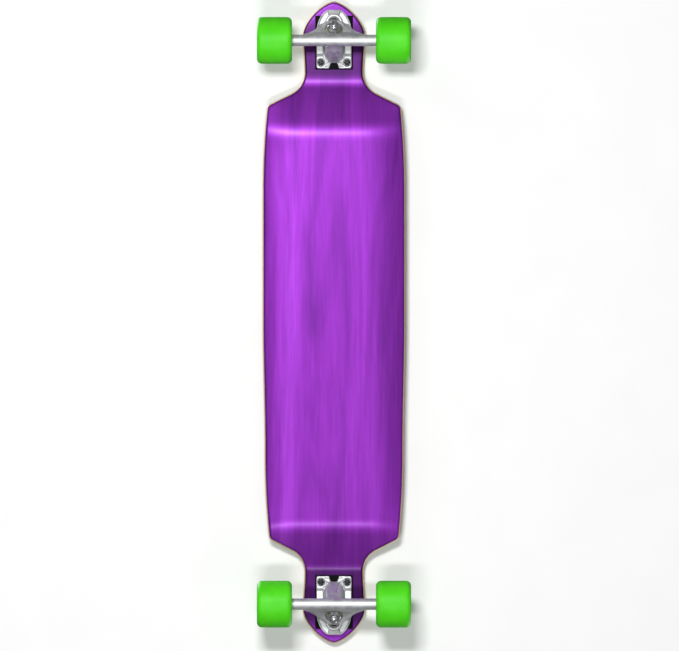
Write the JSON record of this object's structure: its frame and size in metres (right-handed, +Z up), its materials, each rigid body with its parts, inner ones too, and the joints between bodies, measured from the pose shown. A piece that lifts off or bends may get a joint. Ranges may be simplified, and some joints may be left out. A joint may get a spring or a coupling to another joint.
{
  "type": "longboard skateboard",
  "caption": "Dropped-platform longboard with a stained maple deck, reverse-kingpin trucks on risers that steer by leaning, and free-rolling urethane wheels on ball bearings.",
  "frame": {"origin": "on the ground, midway between the axles, on the board's centre line", "axes": "+X toward the nose, +Y to the rider's left, +Z up"},
  "size_m": [1.016, 0.2434, 0.1188],
  "materials": {
    "maple_plies": "sanded and clear lacquered",
    "stained_veneer": "purple stain under gloss lacquer",
    "grip_tape": "coarse grit",
    "black_steel": "black oxide",
    "riser_rubber": "matt",
    "cast_aluminium": "polished",
    "bright_steel": "zinc plated",
    "pivot_nylon": "moulded",
    "bushing_urethane": "semi-gloss",
    "wheel_urethane": "satin",
    "hub_nylon": "moulded",
    "bearing_steel": "ground",
    "bearing_seal": "satin",
    "cage_nylon": "moulded"
  },
  "bodies": {
    "board": {"deck_core": "maple_plies", "deck_bottom_veneer": "stained_veneer", "grip_tape": "grip_tape", "mounting_bolts": "black_steel", "mounting_nuts": "black_steel", "front_riser_pad": "riser_rubber", "front_baseplate": "cast_aluminium", "front_pivot_cup": "pivot_nylon", "front_kingpin": "bright_steel", "front_kingpin_nut": "bright_steel", "front_boardside_washer": "bright_steel", "front_roadside_washer": "bright_steel", "front_boardside_bushing": "bushing_urethane", "front_roadside_bushing": "bushing_urethane", "rear_riser_pad": "riser_rubber", "rear_baseplate": "cast_aluminium", "rear_pivot_cup": "pivot_nylon", "rear_kingpin": "bright_steel", "rear_kingpin_nut": "bright_steel", "rear_boardside_washer": "bright_steel", "rear_roadside_washer": "bright_steel", "rear_boardside_bushing": "bushing_urethane", "rear_roadside_bushing": "bushing_urethane"},
    "front_truck": {"front_hanger": "cast_aluminium", "front_axle": "bright_steel", "front_speed_rings": "bright_steel", "front_bearing_spacers": "bright_steel", "front_axle_nuts": "bright_steel", "front_bearing_inner_rings": "bearing_steel"},
    "front_left_wheel": {"front_left_wheel": "wheel_urethane", "front_left_hub_core": "hub_nylon", "front_left_bearing_outer_rings": "bearing_steel", "front_left_bearing_shields": "bearing_seal"},
    "front_left_cages": {"front_left_bearing_balls": "bearing_steel", "front_left_ball_cages": "cage_nylon"},
    "front_right_wheel": {"front_right_wheel": "wheel_urethane", "front_right_hub_core": "hub_nylon", "front_right_bearing_outer_rings": "bearing_steel", "front_right_bearing_shields": "bearing_seal"},
    "front_right_cages": {"front_right_bearing_balls": "bearing_steel", "front_right_ball_cages": "cage_nylon"},
    "rear_truck": {"rear_hanger": "cast_aluminium", "rear_axle": "bright_steel", "rear_speed_rings": "bright_steel", "rear_bearing_spacers": "bright_steel", "rear_axle_nuts": "bright_steel", "rear_bearing_inner_rings": "bearing_steel"},
    "rear_left_wheel": {"rear_left_wheel": "wheel_urethane", "rear_left_hub_core": "hub_nylon", "rear_left_bearing_outer_rings": "bearing_steel", "rear_left_bearing_shields": "bearing_seal"},
    "rear_left_cages": {"rear_left_bearing_balls": "bearing_steel", "rear_left_ball_cages": "cage_nylon"},
    "rear_right_wheel": {"rear_right_wheel": "wheel_urethane", "rear_right_hub_core": "hub_nylon", "rear_right_bearing_outer_rings": "bearing_steel", "rear_right_bearing_shields": "bearing_seal"},
    "rear_right_cages": {"rear_right_bearing_balls": "bearing_steel", "rear_right_ball_cages": "cage_nylon"}
  },
  "joints": [
    {"name": "front_steer", "type": "hinge", "parent": "board", "child": "front_truck", "pos_m": [0.43439, 0, 0.05215], "axis": [0.8192, 0, 0.5736], "range_deg": [-15, 15], "stiffness_Nm_per_rad": 40, "deforming": ["front_boardside_bushing", "front_roadside_bushing"]},
    {"name": "front_left_wheel_spin", "type": "hinge", "parent": "front_truck", "child": "front_left_wheel", "pos_m": [0.445, 0.094, 0.037], "axis": [0, 1, 0], "continuous": true},
    {"name": "front_left_cage_roll", "type": "hinge", "parent": "front_truck", "child": "front_left_cages", "pos_m": [0.445, 0.094, 0.037], "axis": [0, 1, 0], "continuous": true},
    {"name": "front_right_wheel_spin", "type": "hinge", "parent": "front_truck", "child": "front_right_wheel", "pos_m": [0.445, -0.094, 0.037], "axis": [0, 1, 0], "continuous": true},
    {"name": "front_right_cage_roll", "type": "hinge", "parent": "front_truck", "child": "front_right_cages", "pos_m": [0.445, -0.094, 0.037], "axis": [0, 1, 0], "continuous": true},
    {"name": "rear_steer", "type": "hinge", "parent": "board", "child": "rear_truck", "pos_m": [-0.43439, 0, 0.05215], "axis": [-0.8192, 0, 0.5736], "range_deg": [-15, 15], "stiffness_Nm_per_rad": 40, "deforming": ["rear_boardside_bushing", "rear_roadside_bushing"]},
    {"name": "rear_left_wheel_spin", "type": "hinge", "parent": "rear_truck", "child": "rear_left_wheel", "pos_m": [-0.445, 0.094, 0.037], "axis": [0, 1, 0], "continuous": true},
    {"name": "rear_left_cage_roll", "type": "hinge", "parent": "rear_truck", "child": "rear_left_cages", "pos_m": [-0.445, 0.094, 0.037], "axis": [0, 1, 0], "continuous": true},
    {"name": "rear_right_wheel_spin", "type": "hinge", "parent": "rear_truck", "child": "rear_right_wheel", "pos_m": [-0.445, -0.094, 0.037], "axis": [0, 1, 0], "continuous": true},
    {"name": "rear_right_cage_roll", "type": "hinge", "parent": "rear_truck", "child": "rear_right_cages", "pos_m": [-0.445, -0.094, 0.037], "axis": [0, 1, 0], "continuous": true}
  ],
  "couplings": [
    {"joint": "front_left_cage_roll", "follows": "front_left_wheel_spin", "ratio": 0.632},
    {"joint": "front_right_cage_roll", "follows": "front_right_wheel_spin", "ratio": 0.632},
    {"joint": "rear_left_cage_roll", "follows": "rear_left_wheel_spin", "ratio": 0.632},
    {"joint": "rear_right_cage_roll", "follows": "rear_right_wheel_spin", "ratio": 0.632}
  ]
}
